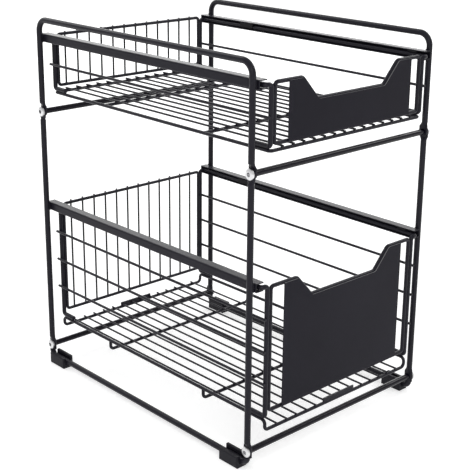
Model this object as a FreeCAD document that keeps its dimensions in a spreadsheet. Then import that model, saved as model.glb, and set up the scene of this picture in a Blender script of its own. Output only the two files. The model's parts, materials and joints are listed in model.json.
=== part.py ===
import FreeCAD, Part
import math
import os

import Sketcher
from FreeCAD import Placement, Rotation, Vector

# Two-tier under sink organizer: a bolted tube frame with two pull-out wire baskets.
# Millimetres, +Z up, front at -Y. The origin is the centre of the footprint on the floor.

doc = FreeCAD.newDocument("UnderSinkOrganizer")
sheet = doc.addObject("Spreadsheet::Sheet", "Sizes")

SIZES = (
    # outer frame
    ("tube_dia", 7.2, "round tube of the outer frame"),
    ("frame_width", 283.0, "left to right side frame, tube axes"),
    ("frame_depth", 380.0, "front to back posts, tube axes"),
    ("top_bar_height", 457.3, "floor to the axis of the top bars"),
    ("bottom_joint_height", 22.8, "floor to the lower screws"),
    ("bottom_bar_height", 8.5, "floor to the axis of the bottom bars"),
    ("top_bend", 14.5, "bend of the top corners, on the axis"),
    ("tab_sheet", 2.0, "thickness of one flattened tube end"),
    ("tab_set_in", 1.0, "tube axis to the plane where two tabs meet"),
    ("neck_length", 5.0, "from the round tube to its flat tab"),
    ("bottom_neck", 1.0, "from the flat at a lower screw to the bottom bend"),
    # screws
    ("screw_head_dia", 12.3, "domed head"),
    ("screw_head_height", 3.2, "domed head"),
    ("head_overlap", 0.3, "screw head past the edge of its tab"),
    ("head_clear", 0.2, "screw head to the neck of the tube"),
    ("screw_dia", 4.8, "shank"),
    ("screw_length", 18.0, "shank under the head"),
    ("screw_play", 0.2, "round the shank in the tabs"),
    ("thread_play", 0.1, "round the shank in the bore of a cross tube"),
    ("socket_width", 4.6, "hexagon across its flats"),
    ("socket_depth", 2.0, "hexagon in the head"),
    # rails, guides and glides
    ("rail_height", 10.4, "outside of the channel"),
    ("rail_flange", 11.5, "outside of the channel"),
    ("rail_sheet", 1.2, "sheet of the channel"),
    ("rail_bend", 1.8, "outer bend of the channel"),
    ("rail_front", 5.5, "front post axis to the front end of a rail"),
    ("guide_set_back", 13.0, "front end of a rail to its plastic guide"),
    ("guide_length", 12.0, "plastic guide"),
    ("guide_wall", 4.0, "guide between the rail's web and the runner"),
    ("glide_length", 24.0, "plastic glide on each runner"),
    ("glide_cover", 1.0, "glide past the runner, towards the basket"),
    ("glide_grip", 1.4, "glide below the axis of the runner"),
    ("travel", 260.0, "pull-out of a basket"),
    ("stop_gap", 1.0, "left between glide and guide at full travel"),
    ("run_gap", 0.3, "running clearance between frame and baskets"),
    ("weld_gap", 0.05, "between pieces that are welded or seated together"),
    # feet
    ("foot_width", 16.0, "across the bar"),
    ("foot_length", 30.0, "along the bar"),
    ("front_foot_place", 8.3, "axis of a front post to the front end of its foot"),
    ("back_foot_place", 4.8, "axis of a back post to the back end of its foot"),
    ("foot_outer_height", 14.4, "outer wall"),
    ("foot_inner_height", 15.8, "inner wall"),
    ("foot_rounding", 1.6, "edges of the foot"),
    # wires of both baskets
    ("front_proud", 6.0, "front panel ahead of the front posts, axes"),
    ("post_clear", 2.6, "flange of a rail to the basket's posts"),
    ("side_frame_dia", 5.5, "bent side frames with the runners"),
    ("front_wire_dia", 4.6, "loop behind the front plate"),
    ("back_wire_dia", 4.0, "loop of the back panel"),
    ("rim_dia", 4.0, "rim and cross wires of the floor"),
    ("side_wire_dia", 3.3, "side wires"),
    ("thin_dia", 2.4, "floor wires and back uprights"),
    ("leg_length", 22.0, "foot of a side frame on the rim, from the post axis"),
    ("leg_bend", 3.5, "bend from a post into its foot"),
    ("jog_straight", 0.5, "between the two bends from a post into the runner"),
    ("panel_bend", 4.0, "corners of the front and back loops"),
    ("rim_bend", 4.0, "corners of the upper rim"),
    ("drop_straight", 2.0, "between the two bends at a corner of the lower rim"),
    ("side_wire_overhang", 3.0, "panel axis to the end of a side wire"),
    ("side_wire_pitch", 38.2, "between the side wires"),
    ("side_wire_floor", 30.0, "least height of a side wire over the rim"),
    ("floor_pitch", 16.0, "between floor wires"),
    ("floor_edge", 10.0, "least distance from the rim's axis to a floor wire"),
    ("floor_trim", 0.1, "end of an upper floor wire short of the rim's outer side"),
    ("cross_wire_pitch", 180.0, "between the two cross wires of a floor"),
    ("back_loop_set_in", 1.0, "back loop ahead of the basket's back posts, axes"),
    ("upright_pitch", 18.7, "between back uprights"),
    ("upright_edge", 8.0, "least distance from the loop's axis to an upright"),
    ("upright_overhang", 2.4, "upright past the axes of its loop"),
    # front plates
    ("plate_inset", 17.95, "axis of the front loop to the side of the plate"),
    ("plate_sheet", 1.2, "thickness"),
    ("ear_width", 21.5, "side of the plate to the hand notch"),
    ("notch_slope", 23.0, "width of a sloping side of the hand notch"),
    ("notch_depth", 25.2, "depth of the hand notch"),
    ("notch_bend", 6.0, "corners of the hand notch"),
    # upper basket, hung below the top bars
    ("upper_rail_drop", 28.6, "axis of the top bars to the underside of the rails"),
    ("upper_wall", 65.2, "axis of the rim to the underside of the rails"),
    ("upper_front_rise", 7.3, "axis of the rim to the lower wire of the front loop"),
    ("upper_front_over", 6.0, "underside of the rails to the upper wire of the front loop"),
    ("upper_back_rise", 8.6, "axis of the rim to the lower wire of the back loop"),
    ("upper_back_over", 7.7, "underside of the rails to the upper wire of the back loop"),
    ("upper_side_wire_drop", 29.3, "underside of the rails to the highest side wires"),
    ("middle_joint_drop", 21.8, "axis of the upper rim to the upper screws"),
    # lower basket, set up from the floor
    ("lower_floor_height", 56.2, "floor to the axis of the rim's sides"),
    ("lower_floor_drop", 12.0, "sides of the rim down to its front and back"),
    ("lower_wall", 155.1, "axis of the rim's sides to the underside of the rails"),
    ("lower_front_rise", 10.8, "axis of the rim's sides to the lower wire of the front loop"),
    ("lower_front_over", 2.7, "underside of the rails to the upper wire of the front loop"),
    ("lower_back_rise", 11.0, "axis of the rim's sides to the lower wire of the back loop"),
    ("lower_back_over", 3.8, "underside of the rails to the upper wire of the back loop"),
    ("lower_side_wire_drop", 33.2, "underside of the rails to the highest side wires"),
    ("strip_length", 52.0, "flat strip on the middle of the rim's front and back"),
    ("strip_height", 4.5, "flat strip"),
    ("strip_sheet", 1.5, "flat strip"),
)
SIDES = (("left", -1), ("right", 1))

for row, (alias, number, note) in enumerate(SIZES, start=1):
    sheet.set(f"A{row}", alias)
    sheet.set(f"B{row}", str(number))
    sheet.setAlias(f"B{row}", alias)
    sheet.set(f"C{row}", note)
doc.recompute()


class Dim:
    """A length with its value and the expression that binds it to the sheet."""

    def __init__(self, value, text):
        self.value = value
        self.text = text

    def __float__(self):
        return float(self.value)

    def __add__(self, other):
        other = dim(other)
        return Dim(self.value + other.value, f"({self.text} + {other.text})")

    def __sub__(self, other):
        other = dim(other)
        return Dim(self.value - other.value, f"({self.text} - {other.text})")

    def __mul__(self, factor):
        return Dim(self.value * factor, f"({self.text} * {factor})")

    def __truediv__(self, divisor):
        return Dim(self.value / divisor, f"({self.text} / {divisor})")

    def __neg__(self):
        return self * -1

    __radd__ = __add__
    __rmul__ = __mul__


def dim(number):
    """Pass a Dim through and wrap a plain number."""
    return number if isinstance(number, Dim) else Dim(number, f"({number})")


def size(alias):
    """The named cell of the sheet."""
    return Dim(float(sheet.get(alias)), f"Sizes.{alias}")


def bind(item, **sizes):
    """Tie properties of a document object to the sheet."""
    for name, length in sizes.items():
        item.setExpression(name, dim(length).text)


def place(item, x, y, z, rotation=None):
    """Turn an object and tie its position to the sheet."""
    base = Vector(float(dim(x)), float(dim(y)), float(dim(z)))
    item.Placement = Placement(base, rotation or Rotation())
    for axis, length in (("x", x), ("y", y), ("z", z)):
        item.setExpression(f".Placement.Base.{axis}", dim(length).text)


def new(kind, label):
    item = doc.addObject(kind, label)
    item.Label = label
    return item


def vector(point):
    return Vector(*(float(dim(c)) for c in point))


ALONG_X = Rotation(Vector(0, 0, 1), Vector(1, 0, 0))
ALONG_Y = Rotation(Vector(0, 0, 1), Vector(0, 1, 0))


# Solids that several pieces share


def rounded_wire(corners, bends, closed):
    """Straight runs through the corners, with a tangent arc at each bend."""
    points = [vector(c) for c in corners]
    radii = [float(dim(b)) for b in bends]
    count = len(points)
    cuts = []
    for i, corner in enumerate(points):
        if not closed and i in (0, count - 1):
            cuts.append((corner, None, corner))
            continue
        before = (points[i - 1] - corner).normalize()
        after = (points[(i + 1) % count] - corner).normalize()
        half = before.getAngle(after) / 2
        reach = radii[i] / math.tan(half)
        inward = (before + after).normalize()
        middle = corner + inward * (radii[i] / math.sin(half) - radii[i])
        cuts.append((corner + before * reach, middle, corner + after * reach))
    edges = []
    for i in range(count if closed else count - 1):
        start = cuts[i][2]
        arc_start, arc_middle, arc_end = cuts[(i + 1) % count]
        if (arc_start - start).Length > 1e-6:
            edges.append(Part.LineSegment(start, arc_start).toShape())
        if arc_middle is not None:
            edges.append(Part.Arc(arc_start, arc_middle, arc_end).toShape())
    return Part.Wire(edges)


def bent_rod(label, corners, bends, dia, closed=False):
    """A round rod swept along a bent path."""
    path = new("Part::Feature", label + "_path")
    path.Shape = rounded_wire(corners, bends, closed)
    first = path.Shape.OrderedEdges[0]
    section = new("Part::Circle", label + "_section")
    bind(section, Radius=dia / 2)
    start = first.valueAt(first.FirstParameter)
    along = first.tangentAt(first.FirstParameter)
    section.Placement = Placement(start, Rotation(Vector(0, 0, 1), along))
    rod = new("Part::Sweep", label)
    rod.Sections = [section]
    rod.Spine = (path, [f"Edge{i}" for i in range(1, len(path.Shape.Edges) + 1)])
    rod.Solid = True
    return rod


def straight_rod(label, dia, length, x, y, z, rotation):
    rod = new("Part::Cylinder", label)
    bind(rod, Radius=dia / 2, Height=length)
    place(rod, x, y, z, rotation)
    return rod


def group(label, items):
    """Equal pieces as one named part of separate solids."""
    together = new("Part::Compound", label)
    together.Links = items
    return together


def box(label, length, width, height, x, y, z):
    block = new("Part::Box", label)
    bind(block, Length=length, Width=width, Height=height)
    place(block, x, y, z)
    return block


def fuse(label, items):
    joined = new("Part::MultiFuse", label)
    joined.Shapes = items
    return joined


def cut(label, base, tools):
    rest = new("Part::Cut", label)
    rest.Base = base
    rest.Tool = tools[0] if len(tools) == 1 else group(label + "_tools", tools)
    return rest


def profile(body, corners):
    """A closed outline on the body's XZ plane with each corner tied to the sheet."""
    sketch = body.newObject("Sketcher::SketchObject", body.Label + "_outline")
    plane = next(f for f in body.Origin.OriginFeatures if f.Role == "XZ_Plane")
    sketch.AttachmentSupport = (plane, [""])
    sketch.MapMode = "FlatFace"
    points = [Vector(float(dim(u)), float(dim(v)), 0) for u, v in corners]
    for i, point in enumerate(points):
        sketch.addGeometry(Part.LineSegment(point, points[(i + 1) % len(points)]))
    for i in range(len(points)):
        sketch.addConstraint(Sketcher.Constraint("Coincident", i, 2, (i + 1) % len(points), 1))
    for i, (u, v) in enumerate(corners):
        for kind, length in (("DistanceX", dim(u)), ("DistanceY", dim(v))):
            number = sketch.addConstraint(Sketcher.Constraint(kind, -1, 1, i, 1, float(length)))
            sketch.setExpression(f"Constraints[{number}]", length.text)
    return sketch


def pad(body, corners, length):
    """Extrude an outline towards the front, from the body's origin."""
    solid = body.newObject("PartDesign::Pad", body.Label + "_pad")
    solid.Profile = profile(body, corners)
    bind(solid, Length=length)
    body.Tip = solid
    doc.recompute()
    return solid


def round_edges(body, radius, wanted):
    """Fillet the edges of the body's tip that pass a test on their ends."""
    tip = body.Tip
    names = []
    for i, edge in enumerate(tip.Shape.Edges, start=1):
        ends = [v.Point for v in edge.Vertexes]
        if len(ends) == 2 and wanted(ends[0], ends[1]):
            names.append(f"Edge{i}")
    fillet = body.newObject("PartDesign::Fillet", body.Label + "_fillet")
    fillet.Base = (tip, names)
    bind(fillet, Radius=radius)
    body.Tip = fillet
    doc.recompute()


def runs_along_y(a, b):
    return abs(a.x - b.x) < 1e-6 and abs(a.z - b.z) < 1e-6


def near(number, length):
    return abs(number - float(dim(length))) < 1e-6


# Places that the pieces share


def across(reach, step):
    """The distance across between two touching wires whose axes have a step between them."""
    squares = f"({reach.text} * {reach.text} - {step.text} * {step.text})"
    return Dim(math.sqrt(float(reach) ** 2 - float(step) ** 2), f"sqrt{squares}")


weld = size("weld_gap")
run = size("run_gap")
tube = size("tube_dia")
side_wire = size("side_frame_dia")
rim = size("rim_dia")

# across the object
post_x = size("frame_width") / 2
tab_plane = post_x - size("tab_set_in")
inner_tab = tab_plane - size("tab_sheet")
outer_tab = tab_plane + size("tab_sheet")
web_x = post_x - tube / 2 - weld
runner_x = web_x - size("rail_sheet") - weld - size("guide_wall") - run - side_wire / 2
wire_x = web_x - size("rail_flange") - size("post_clear") - side_wire / 2
front_loop_x = wire_x - side_wire / 2 - weld - size("front_wire_dia") / 2
back_reach = side_wire / 2 + weld + size("back_wire_dia") / 2
back_loop_x = wire_x - across(back_reach, size("back_loop_set_in"))
plate_x = front_loop_x - size("plate_inset")
notch_top_x = plate_x - size("ear_width")
notch_bottom_x = notch_top_x - size("notch_slope")

# front to back, from the front plate's face to the back screw heads centred on the origin
basket_depth = size("frame_depth") + size("front_proud")
face = size("front_wire_dia") / 2 + weld + size("plate_sheet")
front_y = (face - basket_depth - size("screw_head_dia") / 2) / 2
back_y = front_y + basket_depth
middle_y = (front_y + back_y) / 2
back_loop_y = back_y - size("back_loop_set_in")
post_front = front_y + size("front_proud")
post_back = back_y
posts_y = (("front", post_front), ("back", post_back))
rail_front_end = post_front - size("rail_front")
rail_back_end = back_y + side_wire / 2 + run + size("rail_sheet")
guide_back_end = rail_front_end + size("guide_set_back") + size("guide_length")
glide_front_end = guide_back_end + size("travel") + size("stop_gap")

# up from the floor
rail_z = {"upper": size("top_bar_height") - size("upper_rail_drop")}
floor_z = {"upper": rail_z["upper"] - size("upper_wall"), "lower": size("lower_floor_height")}
rail_z["lower"] = floor_z["lower"] + size("lower_wall")
mat_z = {"upper": floor_z["upper"], "lower": floor_z["lower"] - size("lower_floor_drop")}
joint_z = {
    "middle": floor_z["upper"] - size("middle_joint_drop"),
    "bottom": size("bottom_joint_height"),
}
tab_width = size("screw_head_dia") - size("head_overlap") * 2
tab_reach = size("screw_head_dia") / 2 + size("head_clear")
bottom_bend = joint_z["bottom"] - tab_reach - size("bottom_neck") - size("bottom_bar_height")
jog_bend = (runner_x - wire_x - size("jog_straight")) / 2
drop_bend = (size("lower_floor_drop") - size("drop_straight")) / 2


# Outer frame


def stadium(label, x, y, z, thickness):
    """Outline of a flattened tube, lying in a level plane."""
    half_width = float(tab_width) / 2
    radius = float(thickness) / 2
    straight = half_width - radius
    corners = [Vector(radius * a, straight * b, 0) for a, b in ((1, -1), (1, 1), (-1, 1), (-1, -1))]
    edges = [
        Part.LineSegment(corners[0], corners[1]).toShape(),
        Part.Arc(corners[1], Vector(0, half_width, 0), corners[2]).toShape(),
        Part.LineSegment(corners[2], corners[3]).toShape(),
        Part.Arc(corners[3], Vector(0, -half_width, 0), corners[0]).toShape(),
    ]
    outline = new("Part::Feature", label)
    outline.Shape = Part.Wire(edges)
    place(outline, x, y, z)
    return outline


def neck(label, tube_x, flat_x, y, tube_z, flat_z, thickness):
    """The tube's change from round to flat."""
    ring = new("Part::Circle", label + "_ring")
    bind(ring, Radius=tube / 2)
    place(ring, tube_x, y, tube_z)
    flat = stadium(label + "_flat", flat_x, y, flat_z, thickness)
    loft = new("Part::Loft", label)
    loft.Sections = [ring, flat]
    loft.Solid = True
    return loft


def flat_run(label, x, y, z, thickness, height):
    """A straight stretch of flattened tube, upwards from z."""
    run_up = new("Part::Extrusion", label)
    run_up.Base = stadium(label + "_outline", x, y, z, thickness)
    run_up.DirMode = "Custom"
    run_up.Dir = Vector(0, 0, 1)
    run_up.Solid = True
    bind(run_up, LengthFwd=height)
    return run_up


def cross_disc(label, dia, thickness, x, y, z):
    """A round plug across a side frame: a rounded tab end or a screw hole."""
    return straight_rod(label, dia, thickness, x - thickness / 2, y, z, ALONG_X)


def screw_hole(label, x, y, z):
    return cross_disc(label, size("screw_dia") + size("screw_play") * 2, tube * 2, x, y, z)


def upper_side_frame(name, side):
    """An arch of tube whose two ends are flattened to inner tabs."""
    label = f"upper_side_frame_{name}"
    x = post_x * side
    tab_x = (tab_plane - size("tab_sheet") / 2) * side
    joint = joint_z["middle"]
    flat_z = joint + tab_reach
    neck_z = flat_z + size("neck_length")
    top = size("top_bar_height")
    bend = size("top_bend")
    arch = [(x, post_front, neck_z), (x, post_front, top), (x, post_back, top), (x, post_back, neck_z)]
    solids = [bent_rod(label + "_arch", arch, (0, bend, bend, 0), tube)]
    holes = []
    for end, y in posts_y:
        part = f"{label}_{end}"
        solids.append(neck(part + "_neck", x, tab_x, y, neck_z, flat_z, size("tab_sheet")))
        solids.append(flat_run(part + "_tab", tab_x, y, joint, size("tab_sheet"), tab_reach))
        solids.append(cross_disc(part + "_tip", tab_width, size("tab_sheet"), tab_x, y, joint))
        holes.append(screw_hole(part + "_hole", x, y, joint))
    return cut(label, fuse(label + "_solid", solids), holes)


def lower_side_frame(name, side):
    """A U of tube with outer tabs on top and a pressed flat at each lower screw."""
    label = f"lower_side_frame_{name}"
    x = post_x * side
    tab_x = (tab_plane + size("tab_sheet") / 2) * side
    press_x = tab_plane * side
    press = size("tab_sheet") * 2
    joint = joint_z["middle"]
    low_joint = joint_z["bottom"]
    reach = tab_reach
    post_top = joint - reach - size("neck_length")
    post_bottom = low_joint + reach + size("neck_length")
    bend_top = low_joint - reach - size("bottom_neck")
    bar = size("bottom_bar_height")
    loop = [(x, post_front, bend_top), (x, post_front, bar), (x, post_back, bar), (x, post_back, bend_top)]
    solids = [bent_rod(label + "_bar", loop, (0, bottom_bend, bottom_bend, 0), tube)]
    holes = []
    for end, y in posts_y:
        part = f"{label}_{end}"
        post = straight_rod(part + "_post", tube, post_top - post_bottom, x, y, post_bottom, Rotation())
        solids.append(post)
        solids.append(neck(part + "_neck", x, tab_x, y, post_top, joint - reach, size("tab_sheet")))
        solids.append(flat_run(part + "_tab", tab_x, y, joint - reach, size("tab_sheet"), reach))
        solids.append(cross_disc(part + "_tip", tab_width, size("tab_sheet"), tab_x, y, joint))
        solids.append(neck(part + "_upper_neck", x, press_x, y, post_bottom, low_joint + reach, press))
        solids.append(flat_run(part + "_press", press_x, y, low_joint - reach, press, reach * 2))
        solids.append(neck(part + "_lower_neck", x, press_x, y, bend_top, low_joint - reach, press))
        holes.append(screw_hole(part + "_hole", x, y, joint))
        holes.append(screw_hole(part + "_low_hole", x, y, low_joint))
    return cut(label, fuse(label + "_solid", solids), holes)


def cross_tube(label, y, z):
    """A tube between the side frames, open at both ends for the screws."""
    reach = inner_tab - weld
    hole = size("screw_dia") + size("thread_play") * 2
    outside = straight_rod(label + "_outside", tube, reach * 2, -reach, y, z, ALONG_X)
    bore = straight_rod(label + "_bore", hole, reach * 2, -reach, y, z, ALONG_X)
    return cut(label, outside, [bore])


def screw(label):
    """A domed socket screw with its shank along +X and its head's seat at the origin."""
    radius = size("screw_head_dia") / 2
    height = size("screw_head_height")
    shank = straight_rod(label + "_shank", size("screw_dia"), size("screw_length"), 0, 0, 0, ALONG_X)
    ball = f"(({radius.text} * {radius.text} + {height.text} * {height.text}) / (2 * {height.text}))"
    head = new("Part::Sphere", label + "_head")
    head.setExpression("Radius", ball)
    head.setExpression("Angle1", f"acos({radius.text} / {ball})")
    away = Rotation(Vector(0, 0, 1), Vector(-1, 0, 0))
    head.Placement = Placement(Vector(0, 0, 0), away)
    head.setExpression(".Placement.Base.x", f"{ball} - {height.text}")
    socket = new("Part::Prism", label + "_socket")
    socket.Polygon = 6
    socket.setExpression("Circumradius", f"{size('socket_width').text} / 2 / cos(30 deg)")
    bind(socket, Height=height)
    place(socket, size("socket_depth") - height, 0, 0, away)
    return cut(label, fuse(label + "_solid", [shank, head]), [socket])


def screws():
    """Eight equal screws, two at each post."""
    source = screw("screw")
    copies = []
    for name, side in SIDES:
        turn = Rotation(Vector(0, 0, 1), 180) if side > 0 else Rotation()
        for end, y in posts_y:
            for level in ("middle", "bottom"):
                copy = new("App::Link", f"screw_{name}_{end}_{level}")
                copy.LinkedObject = source
                place(copy, (outer_tab + weld) * side, y, joint_z[level], turn)
                copies.append(copy)
    return group("frame_screws", copies)


def rail(level, name, side):
    """A channel that opens inwards, with a stop folded across its back end."""
    body = new("PartDesign::Body", f"{level}_rail_{name}")
    flange = size("rail_flange") * -side
    sheet_x = size("rail_sheet") * -side
    height = size("rail_height")
    sheet_z = size("rail_sheet")
    channel = [
        (0, 0), (flange, 0), (flange, sheet_z), (sheet_x, sheet_z),
        (sheet_x, height - sheet_z), (flange, height - sheet_z), (flange, height), (0, height),
    ]
    pad(body, channel, rail_back_end - rail_front_end)
    round_edges(
        body, size("rail_bend"),
        lambda a, b: runs_along_y(a, b) and near(a.x, 0) and (near(a.z, 0) or near(a.z, height)),
    )
    stop = [
        (sheet_x, sheet_z), (flange, sheet_z), (flange, height - sheet_z), (sheet_x, height - sheet_z),
    ]
    pad(body, stop, size("rail_sheet"))
    place(body, web_x * side, rail_back_end, rail_z[level])
    return body


def guide(level, name, side):
    """A plastic liner at the front of a rail, beside and above the runner."""
    body = new("PartDesign::Body", f"{level}_rail_guide_{name}")
    depth = (size("rail_flange") - size("rail_sheet") - weld * 2) * -side
    wall = size("guide_wall") * -side
    height = size("rail_height") - size("rail_sheet") * 2 - weld * 2
    slot = side_wire + run * 2 - weld
    liner = [(0, 0), (wall, 0), (wall, slot), (depth, slot), (depth, height), (0, height)]
    pad(body, liner, size("guide_length"))
    seat_x = (web_x - size("rail_sheet") - weld) * side
    place(body, seat_x, guide_back_end, rail_z[level] + size("rail_sheet") + weld)
    return body


def foot(end, name, side, back_end):
    """A plastic shoe over the bottom bar, with a taller wall on the inside."""
    body = new("PartDesign::Body", f"foot_{end}_{name}")
    half = size("foot_width") / 2
    groove = tube / 2 + weld
    floor = size("bottom_bar_height") - tube / 2 - weld
    outer = size("foot_outer_height")
    inner = size("foot_inner_height")
    shoe = [
        (half * side, 0), (half * side, outer), (groove * side, outer), (groove * side, floor),
        (groove * -side, floor), (groove * -side, inner), (half * -side, inner), (half * -side, 0),
    ]
    pad(body, shoe, size("foot_length"))
    round_edges(
        body, size("foot_rounding"),
        lambda a, b: near(abs(a.x), half) and near(abs(b.x), half) and near(abs(a.x - b.x), 0),
    )
    place(body, post_x * side, back_end, 0)
    return body


def frame_nodes():
    nodes = []
    for name, side in SIDES:
        nodes.append(upper_side_frame(name, side))
        nodes.append(lower_side_frame(name, side))
        for level in ("upper", "lower"):
            nodes.append(rail(level, name, side))
            nodes.append(guide(level, name, side))
        front_end = post_front + size("front_foot_place")
        nodes.append(foot("front", name, side, front_end + size("foot_length")))
        nodes.append(foot("back", name, side, post_back - size("back_foot_place")))
    for level in ("middle", "bottom"):
        for end, y in posts_y:
            nodes.append(cross_tube(f"cross_tube_{level}_{end}", y, joint_z[level]))
    nodes.append(screws())
    return nodes


# Baskets


def runner_z(level):
    """Height of a runner's axis, with the wire just over the rail's lower flange."""
    return rail_z[level] + size("rail_sheet") + run + side_wire / 2


def side_frame(level, name, side):
    """One bent wire: foot, post, jog, runner in the rail, jog, post, foot."""
    post = wire_x * side
    runner = runner_x * side
    low = floor_z[level] + rim / 2 + weld + side_wire / 2
    high = runner_z(level)
    corners = [
        (post, front_y + size("leg_length"), low), (post, front_y, low), (post, front_y, high),
        (runner, front_y, high), (runner, back_y, high), (post, back_y, high),
        (post, back_y, low), (post, back_y - size("leg_length"), low),
    ]
    leg = size("leg_bend")
    bends = (0, leg, jog_bend, jog_bend, jog_bend, jog_bend, leg, 0)
    return bent_rod(f"{level}_basket_side_frame_{name}", corners, bends, side_wire)


def side_wires(level, name, side):
    """Straight wires along the outer faces of the posts, as many as fit above the floor."""
    dia = size("side_wire_dia")
    x = (wire_x + side_wire / 2 + weld + dia / 2) * side
    start = front_y - size("side_wire_overhang")
    length = basket_depth + size("side_wire_overhang") * 2
    pitch = size("side_wire_pitch")
    first = rail_z[level] - size(f"{level}_side_wire_drop")
    spare = first - floor_z[level] - size("side_wire_floor")
    label = f"{level}_basket_side_wires_{name}"
    wires = []
    for i in range(int(float(spare) // float(pitch)) + 1):
        wires.append(straight_rod(f"{label}_{i + 1}", dia, length, x, start, first - pitch * i, ALONG_Y))
    return group(label, wires)


def glide(level, name, side):
    """A plastic saddle clipped over the runner, which slides in the rail and meets its guide."""
    label = f"{level}_basket_glide_{name}"
    low = runner_z(level) - size("glide_grip")
    height = rail_z[level] + size("rail_height") - size("rail_sheet") - run - low
    web_side = web_x - size("rail_sheet") - run
    basket_side = runner_x - side_wire / 2 - weld - size("glide_cover")
    left = -web_side if side < 0 else basket_side
    length = size("glide_length")
    block = box(label + "_block", web_side - basket_side, length, height, left, glide_front_end, low)
    bore = straight_rod(
        label + "_bore", side_wire + weld * 2, length,
        runner_x * side, glide_front_end, runner_z(level), ALONG_Y,
    )
    return cut(label, block, [bore])


def even_places(pitch, reach):
    """Offsets at a pitch on both sides of the middle, as many as lie within a reach."""
    half = int(float(reach) / float(pitch) + 0.5)
    return [pitch * (i + 0.5) for i in range(-half, half)]


def back_ends(level):
    """Heights of the lower and upper wire of the back loop."""
    return floor_z[level] + size(f"{level}_back_rise"), rail_z[level] + size(f"{level}_back_over")


def back_loop(level):
    """The closed wire of the back panel."""
    x = back_loop_x
    low, high = back_ends(level)
    y = back_loop_y
    corners = [(-x, y, low), (x, y, low), (x, y, high), (-x, y, high)]
    bends = [size("panel_bend")] * 4
    return bent_rod(f"{level}_basket_back_frame", corners, bends, size("back_wire_dia"), closed=True)


def back_uprights(level):
    """Thin uprights on the outer side of the back loop."""
    dia = size("thin_dia")
    y = back_loop_y + size("back_wire_dia") / 2 + weld + dia / 2
    low, high = back_ends(level)
    foot_z = low - size("upright_overhang")
    length = high + size("upright_overhang") - foot_z
    label = f"{level}_basket_back_uprights"
    wires = []
    for x in even_places(size("upright_pitch"), back_loop_x - size("upright_edge")):
        wires.append(straight_rod(f"{label}_{len(wires) + 1}", dia, length, x, y, foot_z, Rotation()))
    return group(label, wires)


def front_ends(level):
    """Heights of the lower wire, the notch and the upper wire of the front loop."""
    high = rail_z[level] + size(f"{level}_front_over")
    return floor_z[level] + size(f"{level}_front_rise"), high - size("notch_depth"), high


def front_loop(level):
    """The closed wire of the front panel, bent down round the hand notch."""
    x = front_loop_x
    low, dip, high = front_ends(level)
    corners = [
        (-x, front_y, low), (x, front_y, low), (x, front_y, high), (notch_top_x, front_y, high),
        (notch_bottom_x, front_y, dip), (-notch_bottom_x, front_y, dip),
        (-notch_top_x, front_y, high), (-x, front_y, high),
    ]
    corner = size("panel_bend")
    notch = size("notch_bend")
    bends = (corner, corner, corner, notch, notch, notch, notch, corner)
    return bent_rod(f"{level}_basket_front_frame", corners, bends, size("front_wire_dia"), closed=True)


def front_plate(level):
    """A sheet on the front loop, with its edges on the axes of the loop's wires."""
    body = new("PartDesign::Body", f"{level}_basket_front_plate")
    bottom, dip_z, top_z = front_ends(level)
    height = top_z - bottom
    dip = dip_z - bottom
    outline = [
        (-plate_x, 0), (plate_x, 0), (plate_x, height), (notch_top_x, height),
        (notch_bottom_x, dip), (-notch_bottom_x, dip), (-notch_top_x, height), (-plate_x, height),
    ]
    pad(body, outline, size("plate_sheet"))
    round_edges(
        body, size("notch_bend"),
        lambda a, b: runs_along_y(a, b) and (near(abs(a.x), notch_top_x) or near(abs(a.x), notch_bottom_x)),
    )
    place(body, 0, front_y - size("front_wire_dia") / 2 - weld, bottom)
    return body


def upper_rim():
    """The level rim of the upper floor."""
    z = floor_z["upper"]
    corners = [(-wire_x, back_y, z), (-wire_x, front_y, z), (wire_x, front_y, z), (wire_x, back_y, z)]
    return bent_rod("upper_basket_floor_rim", corners, [size("rim_bend")] * 4, rim, closed=True)


def lower_rim():
    """The rim of the lower floor, whose front and back hang below its sides."""
    high = floor_z["lower"]
    low = mat_z["lower"]
    corners = [
        (-wire_x, back_y, high), (-wire_x, front_y, high), (-wire_x, front_y, low), (wire_x, front_y, low),
        (wire_x, front_y, high), (wire_x, back_y, high), (wire_x, back_y, low), (-wire_x, back_y, low),
    ]
    return bent_rod("lower_basket_floor_rim", corners, [drop_bend] * 8, rim, closed=True)


def upper_cross_wire(label, y):
    """A straight wire between the sides of the rim."""
    reach = wire_x - rim / 2 - weld
    return straight_rod(label, rim, reach * 2, -reach, y, floor_z["upper"], ALONG_X)


def lower_cross_wire(label, y):
    """A wire hung from the sides of the rim, down to the level of its front and back."""
    top = floor_z["lower"] - rim / 2 - weld
    low = mat_z["lower"]
    corners = [(-wire_x, y, top), (-wire_x, y, low), (wire_x, y, low), (wire_x, y, top)]
    return bent_rod(label, corners, (0, drop_bend, drop_bend, 0), rim)


def cross_wires(level, make):
    """The two wires that carry the floor wires between front and back."""
    label = f"{level}_basket_floor_cross_wires"
    half = size("cross_wire_pitch") / 2
    return group(label, [make(label + "_front", middle_y - half), make(label + "_back", middle_y + half)])


def floor_wires(level):
    """Thin wires on the rim and the cross wires, the lower ones only up to the flat strips."""
    label = f"{level}_basket_floor_wires"
    dia = size("thin_dia")
    past = {"upper": rim / 2 - size("floor_trim"), "lower": -(size("strip_sheet") / 2) - weld}[level]
    length = basket_depth + past * 2
    z = mat_z[level] + rim / 2 + weld + dia / 2
    wires = []
    for x in even_places(size("floor_pitch"), wire_x - size("floor_edge")):
        wires.append(straight_rod(f"{label}_{len(wires) + 1}", dia, length, x, front_y - past, z, ALONG_Y))
    return group(label, wires)


def floor_strip(end):
    """A flat strip that stands on the lower rim, in front of the floor wires' ends."""
    length = size("strip_length")
    sheet_y = size("strip_sheet")
    y = (back_y if end == "back" else front_y) - sheet_y / 2
    z = mat_z["lower"] + rim / 2 + weld
    return box(f"lower_basket_floor_strip_{end}", length, sheet_y, size("strip_height"), -length / 2, y, z)


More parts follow.
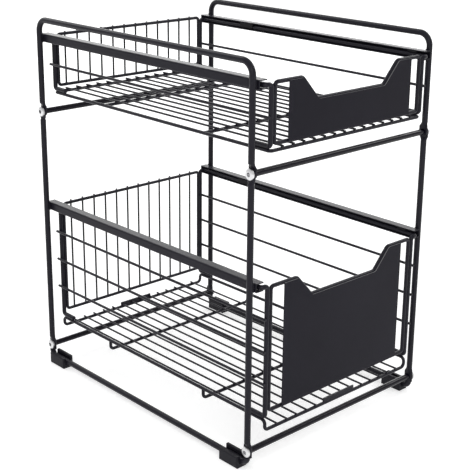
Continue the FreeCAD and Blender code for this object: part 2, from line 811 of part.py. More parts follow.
def basket_nodes(level):
    """The pieces that both baskets have."""
    nodes = []
    for name, side in SIDES:
        nodes.append(side_frame(level, name, side))
        nodes.append(side_wires(level, name, side))
        nodes.append(glide(level, name, side))
    nodes.extend([back_loop(level), back_uprights(level), front_loop(level), front_plate(level)])
    nodes.append(floor_wires(level))
    return nodes


nodes = frame_nodes()
nodes += basket_nodes("upper")
nodes += [upper_rim(), cross_wires("upper", upper_cross_wire)]
nodes += basket_nodes("lower")
nodes += [lower_rim(), cross_wires("lower", lower_cross_wire)]
nodes += [floor_strip("front"), floor_strip("back")]
doc.recompute()

for item in doc.Objects:
    if "Invalid" in item.State or "Error" in item.State:
        raise RuntimeError(f"{item.Label}: {item.State}")
os.makedirs("parts", exist_ok=True)
for node in nodes:
    shape = node.Shape
    if shape.isNull() or not shape.isValid() or not shape.Solids:
        raise RuntimeError(f"{node.Label}: no valid solid")
    shape.exportStep(f"parts/{node.Label}.step")
    print(f"{node.Label}: {len(shape.Solids)} solids, {shape.Volume:.0f} mm3")
print(f"{len(nodes)} parts")
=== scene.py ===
"""Dresses the two-tier under sink organizer: finishes, welds, screws, studio and camera."""
import json
import logging
import math
import random
from dataclasses import dataclass, field, replace
from enum import Enum

import bmesh
import bpy
from mathutils import Matrix, Quaternion, Vector


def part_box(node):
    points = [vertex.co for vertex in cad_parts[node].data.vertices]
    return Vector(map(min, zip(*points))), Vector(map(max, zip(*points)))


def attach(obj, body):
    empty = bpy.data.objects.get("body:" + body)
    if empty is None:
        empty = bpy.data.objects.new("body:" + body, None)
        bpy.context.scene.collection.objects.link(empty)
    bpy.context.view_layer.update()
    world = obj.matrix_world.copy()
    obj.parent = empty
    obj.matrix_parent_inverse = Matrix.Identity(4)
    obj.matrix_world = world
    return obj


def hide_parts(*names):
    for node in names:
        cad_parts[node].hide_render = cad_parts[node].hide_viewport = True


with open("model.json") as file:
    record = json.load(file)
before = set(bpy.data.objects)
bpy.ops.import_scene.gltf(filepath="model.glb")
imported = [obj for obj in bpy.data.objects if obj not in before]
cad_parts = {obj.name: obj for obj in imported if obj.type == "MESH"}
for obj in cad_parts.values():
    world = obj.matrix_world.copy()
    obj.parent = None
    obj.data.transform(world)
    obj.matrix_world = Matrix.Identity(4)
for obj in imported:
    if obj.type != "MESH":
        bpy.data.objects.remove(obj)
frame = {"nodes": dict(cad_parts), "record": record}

LOG = logging.getLogger("organizer")
PHOTO_PIXELS = 470
MM = 0.001
LEVELS = ("upper", "lower")
SIDES = {"left": -1, "right": 1}
SCREW_HEAD_RADIUS = 6.15 * MM


class Slot(Enum):
    """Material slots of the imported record."""

    POWDER_COAT = "powder_coat"
    BLACK_PLASTIC = "black_plastic"
    SCREW_STEEL = "screw_steel"


class Body(Enum):
    """Rigid bodies of the organizer."""

    FRAME = "frame"
    UPPER_BASKET = "upper_basket"
    LOWER_BASKET = "lower_basket"


class Axis(Enum):
    """One of the three axes of the shared frame."""

    X = 0
    Y = 1
    Z = 2

    def unit(self) -> Vector:
        """Unit vector of the axis."""
        return Vector([1.0 if i == self.value else 0.0 for i in range(3)])


@dataclass(frozen=True)
class GrainGroup:
    """Shader group for the fine grain of a coated, moulded or plated skin."""

    name: str = "skin_grain"
    grain_detail: float = 3.0
    grain_roughness: float = 0.55
    grain_low: float = 0.3
    grain_high: float = 0.7
    drift_scale: float = 9.0
    drift_detail: float = 2.0

    def build(self) -> bpy.types.ShaderNodeTree:
        """Make the group once.

        Returns:
            The node tree with inputs for grain scale and roughness limits, and outputs
            for bump height, roughness and slow drift of tone.
        """
        tree = bpy.data.node_groups.new(self.name, "ShaderNodeTree")
        for way, labels in (
            ("INPUT", ("Grain Scale", "Rough Low", "Rough High")),
            ("OUTPUT", ("Height", "Roughness", "Drift")),
        ):
            for label in labels:
                tree.interface.new_socket(label, in_out=way, socket_type="NodeSocketFloat")
        nodes, links = tree.nodes, tree.links
        entry = nodes.new("NodeGroupInput")
        leave = nodes.new("NodeGroupOutput")
        where = nodes.new("ShaderNodeTexCoord")
        grain = nodes.new("ShaderNodeTexNoise")
        grain.inputs["Detail"].default_value = self.grain_detail
        grain.inputs["Roughness"].default_value = self.grain_roughness
        drift = nodes.new("ShaderNodeTexNoise")
        drift.inputs["Scale"].default_value = self.drift_scale
        drift.inputs["Detail"].default_value = self.drift_detail
        spread = nodes.new("ShaderNodeMapRange")
        spread.inputs["From Min"].default_value = self.grain_low
        spread.inputs["From Max"].default_value = self.grain_high
        links.new(where.outputs["Object"], grain.inputs["Vector"])
        links.new(where.outputs["Object"], drift.inputs["Vector"])
        links.new(entry.outputs["Grain Scale"], grain.inputs["Scale"])
        links.new(grain.outputs["Fac"], spread.inputs["Value"])
        links.new(entry.outputs["Rough Low"], spread.inputs["To Min"])
        links.new(entry.outputs["Rough High"], spread.inputs["To Max"])
        links.new(grain.outputs["Fac"], leave.inputs["Height"])
        links.new(spread.outputs["Result"], leave.inputs["Roughness"])
        links.new(drift.outputs["Fac"], leave.inputs["Drift"])
        return tree


@dataclass(frozen=True)
class SkinFinish:
    """A finish with a grain in its bump and roughness and a slow drift between two tones."""

    name: str
    dark: tuple[float, float, float]
    light: tuple[float, float, float]
    grain_scale: float
    rough_low: float
    rough_high: float
    bump_depth: float
    bump_strength: float
    metallic: float = 0.0
    specular: float = 0.5
    dark_stop: float = 0.35
    light_stop: float = 0.65

    def build(self, grain: bpy.types.ShaderNodeTree) -> bpy.types.Material:
        """Make the material.

        Args:
            grain: the shared grain group.

        Returns:
            The finished material.
        """
        material = bpy.data.materials.new(self.name)
        material.use_nodes = True
        nodes, links = material.node_tree.nodes, material.node_tree.links
        shader = nodes["Principled BSDF"]
        shader.inputs["Metallic"].default_value = self.metallic
        shader.inputs["Specular IOR Level"].default_value = self.specular
        skin = nodes.new("ShaderNodeGroup")
        skin.node_tree = grain
        skin.inputs["Grain Scale"].default_value = self.grain_scale
        skin.inputs["Rough Low"].default_value = self.rough_low
        skin.inputs["Rough High"].default_value = self.rough_high
        tone = nodes.new("ShaderNodeValToRGB")
        tone.color_ramp.elements[0].position = self.dark_stop
        tone.color_ramp.elements[0].color = (*self.dark, 1.0)
        tone.color_ramp.elements[1].position = self.light_stop
        tone.color_ramp.elements[1].color = (*self.light, 1.0)
        bump = nodes.new("ShaderNodeBump")
        bump.inputs["Strength"].default_value = self.bump_strength
        bump.inputs["Distance"].default_value = self.bump_depth
        links.new(skin.outputs["Drift"], tone.inputs["Fac"])
        links.new(self.base_colour(material.node_tree, tone), shader.inputs["Base Color"])
        links.new(skin.outputs["Roughness"], shader.inputs["Roughness"])
        links.new(skin.outputs["Height"], bump.inputs["Height"])
        links.new(bump.outputs["Normal"], shader.inputs["Normal"])
        return material

    def base_colour(self, tree: bpy.types.NodeTree, tone: bpy.types.Node) -> bpy.types.NodeSocket:
        """Socket that holds the skin's colour."""
        return tone.outputs["Color"]

    @staticmethod
    def past_box(tree: bpy.types.NodeTree, centre: Vector, reach: Vector) -> bpy.types.NodeSocket:
        """Measure how far a point lies past the sides of a box.

        Args:
            tree: the material's node tree.
            centre: middle of the box.
            reach: half sizes of the box.

        Returns:
            The socket with the distance along each axis, below zero inside the box.
        """
        where = tree.nodes.new("ShaderNodeTexCoord").outputs["Object"]
        for operation, value in (("SUBTRACT", centre), ("ABSOLUTE", None), ("SUBTRACT", reach)):
            step = tree.nodes.new("ShaderNodeVectorMath")
            step.operation = operation
            if value is not None:
                step.inputs[1].default_value = value
            tree.links.new(where, step.inputs[0])
            where = step.outputs["Vector"]
        return where

    @staticmethod
    def blend(
        tree: bpy.types.NodeTree,
        tone: bpy.types.Node,
        colour: tuple[float, float, float],
        share: bpy.types.NodeSocket,
    ) -> bpy.types.NodeSocket:
        """Lay a second colour over the skin's tone.

        Args:
            tree: the material's node tree.
            tone: the node with the skin's tone.
            colour: the second colour.
            share: how much of it shows.

        Returns:
            The socket with the blend.
        """
        mix = tree.nodes.new("ShaderNodeMix")
        mix.data_type = "RGBA"
        mix.inputs["B"].default_value = (*colour, 1.0)
        tree.links.new(share, mix.inputs["Factor"])
        tree.links.new(tone.outputs["Color"], mix.inputs["A"])
        return mix.outputs["Result"]


@dataclass(frozen=True)
class PlateFinish(SkinFinish):
    """Flat coat on the front plates, with a painted highlight along their long cut edges."""

    # Painted highlight on the cut edges: its colour, how far in from the faces and sides it starts and
    # is full, and the scale and lowest share of its uneven patches.
    edge_highlight_colour: tuple[float, float, float] = (0.28, 0.28, 0.285)
    highlight_start: float = 0.05 * MM
    highlight_full: float = 0.20 * MM
    patch_scale: float = 90.0
    patch_low: float = 0.6

    def base_colour(self, tree: bpy.types.NodeTree, tone: bpy.types.Node) -> bpy.types.NodeSocket:
        """Paint a highlight on the coat between the sheet's two faces, away from its sides.

        Args:
            tree: the material's node tree.
            tone: the node with the coat's tone.

        Returns:
            The socket with the finished colour.
        """
        nodes, links = tree.nodes, tree.links
        low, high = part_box("upper_basket_front_plate")
        sides = nodes.new("ShaderNodeSeparateXYZ")
        nearest = nodes.new("ShaderNodeMath")
        nearest.operation = "MAXIMUM"
        patches = nodes.new("ShaderNodeTexNoise")
        patches.inputs["Scale"].default_value = self.patch_scale
        amount = nodes.new("ShaderNodeMapRange")
        amount.inputs["To Min"].default_value = self.patch_low
        # Mask of the painted highlight: none on the faces and sides, and full in uneven patches on the
        # cut edges.
        highlight = nodes.new("ShaderNodeMapRange")
        highlight.inputs["From Min"].default_value = -self.highlight_start
        highlight.inputs["From Max"].default_value = -self.highlight_full
        where = nodes.new("ShaderNodeTexCoord")
        links.new(self.past_box(tree, (low + high) / 2, (high - low) / 2), sides.inputs["Vector"])
        links.new(sides.outputs["X"], nearest.inputs[0])
        links.new(sides.outputs["Y"], nearest.inputs[1])
        links.new(nearest.outputs["Value"], highlight.inputs["Value"])
        links.new(where.outputs["Object"], patches.inputs["Vector"])
        links.new(patches.outputs["Fac"], amount.inputs["Value"])
        links.new(amount.outputs["Result"], highlight.inputs["To Max"])
        return self.blend(tree, tone, self.edge_highlight_colour, highlight.outputs["Result"])


@dataclass(frozen=True)
class ScrewFinish(SkinFinish):
    """Plated steel with painted shade in its sockets, at the four screw axes, for the dark of a deep
    recess.
    """

    # Painted shade of the sockets: its colour, and the radius and soft edge of its disc about each
    # axis.
    socket_shade_colour: tuple[float, float, float] = (0.24, 0.24, 0.25)
    socket_radius: float = 2.55 * MM
    socket_edge: float = 0.35 * MM

    def base_colour(self, tree: bpy.types.NodeTree, tone: bpy.types.Node) -> bpy.types.NodeSocket:
        """Paint shade into the plating inside the sockets.

        Args:
            tree: the material's node tree.
            tone: the node with the plating's tone.

        Returns:
            The socket with the finished colour.
        """
        nodes, links = tree.nodes, tree.links
        low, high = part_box("frame_screws")
        reach = (high - low) / 2 - Vector((0.0, SCREW_HEAD_RADIUS, SCREW_HEAD_RADIUS))
        across = nodes.new("ShaderNodeVectorMath")
        across.operation = "MULTIPLY"
        across.inputs[1].default_value = Axis.Y.unit() + Axis.Z.unit()
        far = nodes.new("ShaderNodeVectorMath")
        far.operation = "LENGTH"
        # Mask of the painted shade: full inside the socket's radius and none beyond it.
        inside = nodes.new("ShaderNodeMapRange")
        inside.inputs["From Min"].default_value = self.socket_radius - self.socket_edge
        inside.inputs["From Max"].default_value = self.socket_radius
        inside.inputs["To Min"].default_value = 1.0
        inside.inputs["To Max"].default_value = 0.0
        links.new(self.past_box(tree, (low + high) / 2, reach), across.inputs[0])
        links.new(across.outputs["Vector"], far.inputs[0])
        links.new(far.outputs["Value"], inside.inputs["Value"])
        return self.blend(tree, tone, self.socket_shade_colour, inside.outputs["Result"])


COAT_DARK = (0.0112, 0.0104, 0.0160)
COAT_LIGHT = (0.0138, 0.0130, 0.0196)
COAT_GRAIN = 1100.0
COAT_DEPTH = 0.08 * MM
FINISHES: dict[Slot, SkinFinish] = {
    Slot.POWDER_COAT: SkinFinish(
        name="charcoal_powder_coat",
        dark=COAT_DARK,
        light=COAT_LIGHT,
        grain_scale=COAT_GRAIN,
        rough_low=0.26,
        rough_high=0.36,
        bump_depth=COAT_DEPTH,
        bump_strength=0.30,
        specular=0.16,
    ),
    Slot.BLACK_PLASTIC: SkinFinish(
        name="black_moulded_plastic",
        dark=(0.0076, 0.0070, 0.0112),
        light=(0.0096, 0.0089, 0.0140),
        grain_scale=1700.0,
        rough_low=0.50,
        rough_high=0.66,
        bump_depth=0.06 * MM,
        bump_strength=0.55,
        specular=0.22,
    ),
    Slot.SCREW_STEEL: ScrewFinish(
        name="bright_plated_steel",
        dark=(0.64, 0.64, 0.65),
        light=(0.74, 0.74, 0.75),
        grain_scale=800.0,
        rough_low=0.26,
        rough_high=0.38,
        bump_depth=0.02 * MM,
        bump_strength=0.25,
        metallic=1.0,
    ),
}
PLATE_FINISH = PlateFinish(
    name="plate_powder_coat",
    dark=COAT_DARK,
    light=COAT_LIGHT,
    grain_scale=COAT_GRAIN,
    rough_low=0.36,
    rough_high=0.50,
    bump_depth=COAT_DEPTH,
    bump_strength=0.40,
    specular=0.085,
)
RAIL_FINISH = replace(
    FINISHES[Slot.POWDER_COAT],
    name="rail_powder_coat",
    rough_low=0.30,
    rough_high=0.41,
    bump_strength=0.35,
    specular=0.13,
)
CROSS_FINISH = replace(
    FINISHES[Slot.POWDER_COAT],
    name="cross_powder_coat",
    dark=(0.0032, 0.0024, 0.0066),
    light=(0.0040, 0.0031, 0.0080),
    rough_low=0.14,
    rough_high=0.22,
    bump_strength=0.12,
    specular=0.20,
)
# The rail guides and glides: a darker, less glossy copy of the black plastic, as painted shade of the
# rail channels.
GLIDE_SHADE_FINISH = replace(
    FINISHES[Slot.BLACK_PLASTIC],
    name="glide_shaded_black_plastic",
    dark=(0.0062, 0.0060, 0.0076),
    light=(0.0078, 0.0075, 0.0094),
    specular=0.18,
)
OWN_FINISHES: dict[SkinFinish, tuple[str, ...]] = {
    PLATE_FINISH: tuple(f"{level}_basket_front_plate" for level in LEVELS),
    RAIL_FINISH: tuple(f"{level}_rail_{side}" for level in LEVELS for side in SIDES),
    CROSS_FINISH: tuple(
        f"cross_tube_{height}_{end}"
        for height in ("middle", "bottom") for end in ("front", "back")
    ),
    GLIDE_SHADE_FINISH: tuple(
        f"{level}_{piece}_{side}"
        for level in LEVELS for piece in ("rail_guide", "basket_glide") for side in SIDES
    ),
}


@dataclass
class WeldBeads:
    """Small welds of one rigid body, gathered in one mesh under the powder coat."""

    body: Body
    seed: int
    step: float = 1.5 * MM
    overlap: float = 0.4
    spread: float = 0.12
    drop_segments: int = 8
    drop_rings: int = 5
    wire_segments: int = 12
    mesh: bmesh.types.BMesh = field(default_factory=bmesh.new)
    scatter: random.Random = field(init=False)

    def __post_init__(self) -> None:
        """Start the body's own repeatable scatter."""
        self.scatter = random.Random(self.seed)

    def nugget(self, centre: Vector, radii: Vector) -> None:
        """Add one squashed drop of weld.

        Args:
            centre: middle of the drop.
            radii: its half sizes along X, Y and Z.
        """
        vary = 1.0 + self.scatter.uniform(-self.spread, self.spread)
        place = Matrix.Translation(centre) @ Matrix.Diagonal((radii * vary).to_4d())
        bmesh.ops.create_uvsphere(
            self.mesh,
            u_segments=self.drop_segments,
            v_segments=self.drop_rings,
            radius=1.0,
            matrix=place,
        )

    def bead(self, centre: Vector, length: float, radius: float, along: Axis) -> None:
        """Add a run of overlapping drops.

        Args:
            centre: middle of the run.
            length: length of the run.
            radius: half thickness of the run.
            along: the axis that it follows.
        """
        count = max(2, round(length / self.step))
        unit = along.unit()
        radii = Vector((radius, radius, radius)) + unit * (self.step - radius * self.overlap)
        for i in range(count):
            offset = (i / (count - 1) - 0.5) * length
            self.nugget(centre + unit * offset, radii)

    def wire_end(self, centre: Vector, length: float, radius: float) -> None:
        """Add the end of a wire that lies along Y.

        Args:
            centre: middle of the end.
            length: length of the end.
            radius: radius of the wire.
        """
        place = Matrix.Translation(centre) @ Matrix.Rotation(math.pi / 2, 4, "X")
        bmesh.ops.create_cone(
            self.mesh,
            cap_ends=True,
            segments=self.wire_segments,
            radius1=radius,
            radius2=radius,
            depth=length,
            matrix=place,
        )

    def finish(self, material: bpy.types.Material) -> bpy.types.Object:
        """Turn the drops into a piece that rides on the body.

        Args:
            material: the coat over the welds.

        Returns:
            The new object.
        """
        bmesh.ops.recalc_face_normals(self.mesh, faces=self.mesh.faces)
        for face in self.mesh.faces:
            face.smooth = True
        name = f"{self.body.value}_welds"
        data = bpy.data.meshes.new(name)
        self.mesh.to_mesh(data)
        self.mesh.free()
        data.materials.append(material)
        piece = bpy.data.objects.new(name, data)
        bpy.context.scene.collection.objects.link(piece)
        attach(piece, self.body.value)
        return piece


def even_marks(low: float, high: float, pitch: float) -> list[float]:
    """Places at a pitch from one end to the other.

    Args:
        low: first place.
        high: last place.
        pitch: wanted distance between two places.

    Returns:
        The places, ends included.
    """
    gaps = max(1, round((high - low) / pitch))
    return [low + (high - low) * i / gaps for i in range(gaps + 1)]


@dataclass
class OuterFrame:
    """The bolted tube frame, whose rails are welded to its posts."""

    seed: int = 11
    bead_radius: float = 0.75 * MM
    bead_offset: float = 2.1 * MM
    bead_depth: float = 0.35 * MM
    bead_margin: float = 1.2 * MM

    def post_places(self) -> list[float]:
        """Find the posts from the side frames and the cross tubes.

        Returns:
            Y of the front and back posts.
        """
        low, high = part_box("upper_side_frame_left")
        middle = (low.y + high.y) / 2
        half = (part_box("cross_tube_middle_back")[0].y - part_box("cross_tube_middle_front")[0].y) / 2
        return [middle - half, middle + half]

    def weld(self) -> WeldBeads:
        """Lay the welds between the rails and the posts.

        Returns:
            The welds of the frame.
        """
        beads = WeldBeads(Body.FRAME, seed=self.seed)
        for level in LEVELS:
            for name, side in SIDES.items():
                low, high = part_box(f"{level}_rail_{name}")
                web = low.x if side < 0 else high.x
                x = web + side * self.bead_depth
                z = (low.z + high.z) / 2
                length = high.z - low.z - 2 * self.bead_margin
                for y in self.post_places():
                    for turn in (-1, 1):
                        spot = Vector((x, y + turn * self.bead_offset, z))
                        beads.bead(spot, length, self.bead_radius, Axis.Z)
        return beads


@dataclass
class ScrewSet:
    """The eight socket screws, with the full edges and shallow crowns of the real heads.

    A profile is a row of points, each a height over the seat and a radius about the axis. One
    screw is made in millimetres, socket included, and scaled when it is set in the frame.
    """

    name: str = "frame_socket_screws"
    head: tuple[tuple[float, float], ...] = (
        (0.0, 2.4), (0.0, 5.85), (0.3, 6.15), (1.6, 6.15), (2.0, 6.02), (2.25, 5.65),
        (2.6, 4.8), (2.9, 3.8), (3.05, 2.95),
    )
    shank: tuple[tuple[float, float], ...] = ((-18.0, 1.9), (-17.4, 2.4))
    socket_half: float = 2.3
    socket_depth: float = 1.8
    merge_distance: float = 0.001
    turns: int = 24
    sharp_degrees: float = 35.0
    seat: float = 142.55 * MM
    seed: int = 5

    def one(self) -> bpy.types.Mesh:
        """Turn one screw along X, its seat at the origin.

        Returns:
            The screw's mesh.
        """
        shape = bmesh.new()
        line = [shape.verts.new((x, r, 0.0)) for x, r in (*self.shank, *self.head)]
        edges = [shape.edges.new(pair) for pair in zip(line, line[1:])]
        bmesh.ops.spin(
            shape, geom=line + edges, cent=(0.0, 0.0, 0.0), axis=(1.0, 0.0, 0.0),
            angle=math.tau, steps=self.turns, use_merge=True,
        )
        bmesh.ops.remove_doubles(shape, verts=shape.verts, dist=self.merge_distance)
        rim = [edge for edge in shape.edges if edge.is_boundary and edge.verts[0].co.x > 0.0]
        for sink in (0.0, self.socket_depth):
            grown = bmesh.ops.extrude_edge_only(shape, edges=rim)["geom"]
            grown_edges = [item for item in grown if isinstance(item, bmesh.types.BMEdge)]
            rim = [edge for edge in grown_edges if edge.is_boundary]
            for vert in {vert for edge in rim for vert in edge.verts}:
                vert.co = self.on_hexagon(vert.co, sink)
        ends = [edge for edge in shape.edges if edge.is_boundary]
        bmesh.ops.holes_fill(shape, edges=ends, sides=self.turns)
        bmesh.ops.recalc_face_normals(shape, faces=shape.faces)
        mesh = bpy.data.meshes.new("screw")
        shape.to_mesh(mesh)
        shape.free()
        return mesh

    def on_hexagon(self, spot: Vector, sink: float) -> Vector:
        """Move a point of the socket's rim out to the hexagon.

        Args:
            spot: a point of the rim.
            sink: how far it goes down from there.

        Returns:
            The place on the hexagon.
        """
        angle = math.atan2(spot.z, spot.y)
        sixth = math.pi / 3
        reach = self.socket_half / math.cos((angle + sixth / 2) % sixth - sixth / 2)
        return Vector((spot.x - sink, reach * math.cos(angle), reach * math.sin(angle)))

    def build(self, material: bpy.types.Material) -> bpy.types.Object:
        """Set the screws in the frame, each turned to where it came tight.

        Args:
            material: the plating.

        Returns:
            The new piece, which stands for the plain screws.
        """
        source = self.one()
        scatter = random.Random(self.seed)
        low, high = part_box("frame_screws")
        shape = bmesh.new()
        for half_turn, x in ((math.pi, -self.seat), (0.0, self.seat)):
            for y in (low.y + SCREW_HEAD_RADIUS, high.y - SCREW_HEAD_RADIUS):
                for z in (low.z + SCREW_HEAD_RADIUS, high.z - SCREW_HEAD_RADIUS):
                    place = Matrix.Translation((x, y, z)) @ Matrix.Rotation(half_turn, 4, "Z")
                    place = place @ Matrix.Rotation(scatter.uniform(0.0, math.tau), 4, "X")
                    shape.from_mesh(source)
                    fresh = shape.verts[-len(source.vertices):]
                    bmesh.ops.transform(shape, matrix=place @ Matrix.Scale(MM, 4), verts=fresh)
        bpy.data.meshes.remove(source)
        for face in shape.faces:
            face.smooth = True
        data = bpy.data.meshes.new(self.name)
        shape.to_mesh(data)
        shape.free()
        data.set_sharp_from_angle(angle=math.radians(self.sharp_degrees))
        data.materials.append(material)
        piece = bpy.data.objects.new(self.name, data)
        bpy.context.scene.collection.objects.link(piece)
        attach(piece, Body.FRAME.value)
        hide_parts("frame_screws")
        return piece


@dataclass
class Basket:
    """One pull-out wire basket."""

    level: str
    body: Body
    seed: int
    floor_pitch: float = 16.0 * MM
    upright_pitch: float = 18.7 * MM
    side_pitch: float = 38.2 * MM
    thin_radius: float = 1.2 * MM
    side_radius: float = 1.65 * MM
    rim_radius: float = 2.0 * MM
    back_radius: float = 2.0 * MM
    post_radius: float = 2.75 * MM
    strip_half: float = 28.0 * MM
    end_trim: float = 0.4 * MM
    loop_bead_rise: float = 16.0 * MM
    loop_bead_drop: float = 18.0 * MM
    loop_bead_length: float = 7.0 * MM
    loop_bead_radius: float = 0.9 * MM
    crossing: tuple[float, float, float] = (1.25 * MM, 1.25 * MM, 0.7 * MM)

    def node_box(self, part: str) -> tuple[Vector, Vector]:
        """Corners of one of the basket's pieces."""
        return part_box(f"{self.level}_basket_{part}")

    def weld(self) -> WeldBeads:
        """Lay all the welds of the basket.

        Returns:
            The welds of the basket.
        """
        beads = WeldBeads(self.body, seed=self.seed)
        self.weld_floor(beads)
        self.weld_back(beads)
        self.weld_sides(beads)
        return beads

    def weld_floor(self, beads: WeldBeads) -> None:
        """Weld the floor wires to the rim and to the cross wires.

        Where the wires stop short of the rim's axis, their ends over the rim are added, except
        behind the flat strips.

        Args:
            beads: the basket's welds.
        """
        low, high = self.node_box("floor_wires")
        rim_low, rim_high = self.node_box("floor_rim")
        cross_low, cross_high = self.node_box("floor_cross_wires")
        r = self.rim_radius
        marks = even_marks(low.x + self.thin_radius, high.x - self.thin_radius, self.floor_pitch)
        rims = (rim_low.y + r, rim_high.y - r)
        for x in marks:
            for y in (cross_low.y + r, cross_high.y - r):
                beads.nugget(Vector((x, y, low.z)), Vector(self.crossing))
            for y, end, turn in zip(rims, (low.y, high.y), (-1, 1)):
                if (end - y) * turn > 0.0:
                    beads.nugget(Vector((x, y, low.z)), Vector(self.crossing))
                elif abs(x) > self.strip_half:
                    reach = abs(end - y) + r - self.end_trim
                    spot = Vector((x, end + turn * reach / 2, low.z + self.thin_radius))
                    beads.wire_end(spot, reach, self.thin_radius)

    def weld_back(self, beads: WeldBeads) -> None:
        """Weld the uprights to the back loop.

        Args:
            beads: the basket's welds.
        """
        low, high = self.node_box("back_uprights")
        loop_low, loop_high = self.node_box("back_frame")
        a, b, c = self.crossing
        heights = (loop_low.z + self.back_radius, loop_high.z - self.back_radius)
        r = self.thin_radius
        for x in even_marks(low.x + r, high.x - r, self.upright_pitch):
            for z in heights:
                beads.nugget(Vector((x, low.y, z)), Vector((a, c, b)))

    def weld_sides(self, beads: WeldBeads) -> None:
        """Weld the side wires and the loops to the posts.

        Args:
            beads: the basket's welds.
        """
        a, b, c = self.crossing
        r = self.side_radius
        for name, side in SIDES.items():
            low, high = self.node_box(f"side_wires_{name}")
            post_low, post_high = self.node_box(f"side_frame_{name}")
            seam = high.x if side < 0 else low.x
            posts = (post_low.y + self.post_radius, post_high.y - self.post_radius)
            for z in even_marks(low.z + r, high.z - r, self.side_pitch):
                for y in posts:
                    beads.nugget(Vector((seam, y, z)), Vector((c, a, b)))
            inner = post_high.x if side < 0 else post_low.x
            for y, turn in zip(posts, (1, -1)):
                for part in ("front_frame", "back_frame"):
                    loop_low, loop_high = self.node_box(part)
                    if abs((loop_low.y + loop_high.y) / 2 - y) > self.post_radius:
                        continue
                    for z in (loop_low.z + self.loop_bead_rise, loop_high.z - self.loop_bead_drop):
                        spot = Vector((inner, y - turn * self.loop_bead_radius, z))
                        beads.bead(spot, self.loop_bead_length, self.loop_bead_radius, Axis.Z)


@dataclass(frozen=True)
class Softbox:
    """A wide soft lamp that looks at the middle of the object."""

    name: str
    power: float
    width: float
    height: float
    place: tuple[float, float, float]
    target: tuple[float, float, float] = (0.0, 0.0, 0.23)

    def build(self) -> None:
        """Hang the lamp."""
        data = bpy.data.lights.new(self.name, "AREA")
        data.energy = self.power
        data.shape = "RECTANGLE"
        data.size = self.width
        data.size_y = self.height
        lamp = bpy.data.objects.new(self.name, data)
        lamp.location = self.place
        lamp.rotation_mode = "QUATERNION"
        lamp.rotation_quaternion = (Vector(self.target) - lamp.location).to_track_quat("-Z", "Y")
        bpy.context.scene.collection.objects.link(lamp)


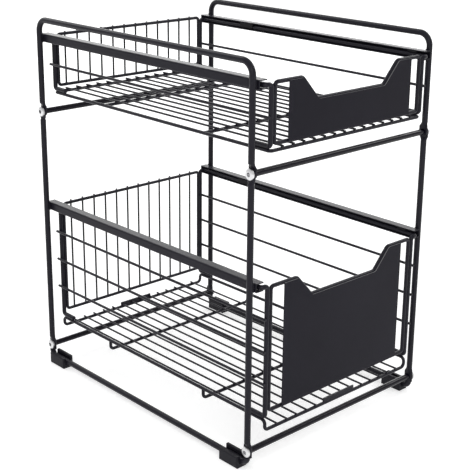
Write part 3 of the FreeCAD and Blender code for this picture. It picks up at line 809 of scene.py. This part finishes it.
@dataclass(frozen=True)
class Studio:
    """A pale floor and backdrop in plain soft light."""

    floor_half: float = 14.0
    tone: float = 0.82
    glow_near: float = 0.47
    glow_far: float = 0.56
    glow_reach: tuple[float, float] = (0.5, 2.5)
    sky_level: float = 0.70
    wall_place: tuple[float, float] = (2.95, 3.16)
    wall_half: float = 9.0
    lamps: tuple[Softbox, ...] = (
        Softbox("right_softbox", power=15.0, width=1.2, height=0.6, place=(2.2, -0.8, 2.1)),
        Softbox("top_softbox", power=13.0, width=0.7, height=1.6, place=(-0.5, 1.8, 2.05)),
        Softbox("back_softbox", power=16.0, width=2.4, height=1.0, place=(2.0, 2.2, 1.1)),
        Softbox("front_softbox", power=14.0, width=0.9, height=0.9, place=(-1.7, -1.8, 1.6)),
    )

    def build(self) -> None:
        """Make the floor, the backdrop, the sky and the lamps."""
        pale = self.pale_material()
        self.sheet("studio_floor", self.floor_half, Matrix(), pale)
        turn = math.atan2(self.wall_place[1], self.wall_place[0]) - math.pi / 2
        wall = Matrix.Translation((*self.wall_place, 0.0)) @ Matrix.Rotation(turn, 4, "Z")
        upright = wall @ Matrix.Rotation(math.pi / 2, 4, "X")
        self.sheet("studio_backdrop", self.wall_half, upright, pale)
        self.sky()
        for lamp in self.lamps:
            lamp.build()

    @staticmethod
    def sheet(name: str, half: float, place: Matrix, material: bpy.types.Material) -> None:
        """Lay one flat square of the studio.

        Args:
            name: name of the piece.
            half: half of its side.
            place: where it lies, from level at the origin.
            material: its colour.
        """
        shape = bmesh.new()
        bmesh.ops.create_grid(shape, x_segments=1, y_segments=1, size=half, matrix=place)
        data = bpy.data.meshes.new(name)
        shape.to_mesh(data)
        shape.free()
        data.materials.append(material)
        plane = bpy.data.objects.new(name, data)
        bpy.context.scene.collection.objects.link(plane)

    def pale_material(self) -> bpy.types.Material:
        """Make the studio's colour, lifted to white for the camera but still taking shadow.

        Returns:
            The material of the floor and the backdrop.
        """
        material = bpy.data.materials.new("studio_pale")
        material.use_nodes = True
        nodes, links = material.node_tree.nodes, material.node_tree.links
        nodes.clear()
        matte = nodes.new("ShaderNodeBsdfDiffuse")
        matte.inputs["Color"].default_value = (self.tone, self.tone, self.tone, 1.0)
        glow = nodes.new("ShaderNodeEmission")
        rays = nodes.new("ShaderNodeLightPath")
        seen = self.seen_rays(nodes, links, rays)
        where = nodes.new("ShaderNodeTexCoord")
        away = nodes.new("ShaderNodeVectorMath")
        away.operation = "LENGTH"
        level = nodes.new("ShaderNodeMapRange")
        level.inputs["From Min"].default_value = self.glow_reach[0]
        level.inputs["From Max"].default_value = self.glow_reach[1]
        level.inputs["To Min"].default_value = self.glow_near
        level.inputs["To Max"].default_value = self.glow_far
        strength = nodes.new("ShaderNodeMath")
        strength.operation = "MULTIPLY"
        both = nodes.new("ShaderNodeAddShader")
        leave = nodes.new("ShaderNodeOutputMaterial")
        links.new(where.outputs["Object"], away.inputs[0])
        links.new(away.outputs["Value"], level.inputs["Value"])
        links.new(level.outputs["Result"], strength.inputs[1])
        links.new(seen, strength.inputs[0])
        links.new(strength.outputs[0], glow.inputs["Strength"])
        links.new(matte.outputs[0], both.inputs[0])
        links.new(glow.outputs[0], both.inputs[1])
        links.new(both.outputs[0], leave.inputs["Surface"])
        return material

    @staticmethod
    def seen_rays(
        nodes: bpy.types.Nodes, links: bpy.types.NodeLinks, rays: bpy.types.Node
    ) -> bpy.types.NodeSocket:
        """Tell the rays that show the background from those that light the object.

        Args:
            nodes: nodes of the tree.
            links: links of the tree.
            rays: its Light Path node.

        Returns:
            A socket that is 1 for camera, glossy and transmission rays.
        """
        total = rays.outputs["Is Camera Ray"]
        for label in ("Is Glossy Ray", "Is Transmission Ray"):
            larger = nodes.new("ShaderNodeMath")
            larger.operation = "MAXIMUM"
            links.new(total, larger.inputs[0])
            links.new(rays.outputs[label], larger.inputs[1])
            total = larger.outputs[0]
        return total

    def sky(self) -> None:
        """Make the sky one plain grey."""
        world = bpy.data.worlds.new("studio_sky")
        bpy.context.scene.world = world
        world.use_nodes = True
        back = world.node_tree.nodes["Background"]
        back.inputs["Color"].default_value = (1.0, 1.0, 1.0, 1.0)
        back.inputs["Strength"].default_value = self.sky_level


@dataclass(frozen=True)
class PhotoCamera:
    """The camera fitted to the photo."""

    name: str = "photo_camera"
    place: tuple[float, float, float] = (-0.8979, -0.9754, 0.6537)
    azimuth: float = -43.006
    elevation: float = 17.545
    roll: float = 0.599
    focal_pixels: float = 1113.0
    centre_drop_pixels: float = 30.0
    sensor: float = 36.0

    def build(self) -> bpy.types.Object:
        """Place the camera and make it the scene's own.

        Returns:
            The camera object.
        """
        data = bpy.data.cameras.new(self.name)
        data.sensor_width = self.sensor
        data.lens = self.focal_pixels / PHOTO_PIXELS * self.sensor
        data.shift_y = -self.centre_drop_pixels / PHOTO_PIXELS
        camera = bpy.data.objects.new(self.name, data)
        turn, tilt = math.radians(self.azimuth), math.radians(self.elevation)
        back = Vector((
            math.sin(turn) * math.cos(tilt), -math.cos(turn) * math.cos(tilt), math.sin(tilt),
        ))
        aim = (-back).to_track_quat("-Z", "Y")
        camera.location = self.place
        camera.rotation_mode = "QUATERNION"
        camera.rotation_quaternion = aim @ Quaternion((0.0, 0.0, 1.0), math.radians(self.roll))
        bpy.context.scene.collection.objects.link(camera)
        bpy.context.scene.camera = camera
        return camera


def own_materials(grain: bpy.types.ShaderNodeTree) -> dict[str, bpy.types.Material]:
    """Make the finishes of the nodes that don't take their slot's.

    Args:
        grain: the shared grain group.

    Returns:
        The finished material of each such node.
    """
    own: dict[str, bpy.types.Material] = {}
    for finish, nodes in OWN_FINISHES.items():
        own.update(dict.fromkeys(nodes, finish.build(grain)))
    return own


def dress_nodes(
    materials: dict[Slot, bpy.types.Material], own: dict[str, bpy.types.Material]
) -> None:
    """Give every CAD node its own finish, or else the finish of its slot.

    Args:
        materials: finished material of each slot.
        own: finished material of each node that doesn't take its slot's.
    """
    for entry in frame["record"]["subparts"]:
        name = entry["node"]
        material = own.get(name, materials[Slot(entry["material_slot"])])
        node = frame["nodes"][name]
        node.data.materials.clear()
        node.data.materials.append(material)
        LOG.info("%s: %s", name, material.name)


def main() -> None:
    """Build the materials, the pieces, the studio and the camera in order."""
    logging.basicConfig(level=logging.INFO, format="%(message)s")
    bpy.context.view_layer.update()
    bpy.context.scene.view_settings.view_transform = "Standard"
    grain = GrainGroup().build()
    materials = {slot: finish.build(grain) for slot, finish in FINISHES.items()}
    dress_nodes(materials, own_materials(grain))
    assemblies = (
        OuterFrame(),
        Basket("upper", Body.UPPER_BASKET, seed=23),
        Basket("lower", Body.LOWER_BASKET, seed=37),
    )
    for assembly in assemblies:
        piece = assembly.weld().finish(materials[Slot.POWDER_COAT])
        LOG.info("%s: %d faces", piece.name, len(piece.data.polygons))
    screws = ScrewSet().build(materials[Slot.SCREW_STEEL])
    LOG.info("%s: %d faces", screws.name, len(screws.data.polygons))
    Studio().build()
    PhotoCamera().build()


if __name__ == "__main__":
    main()
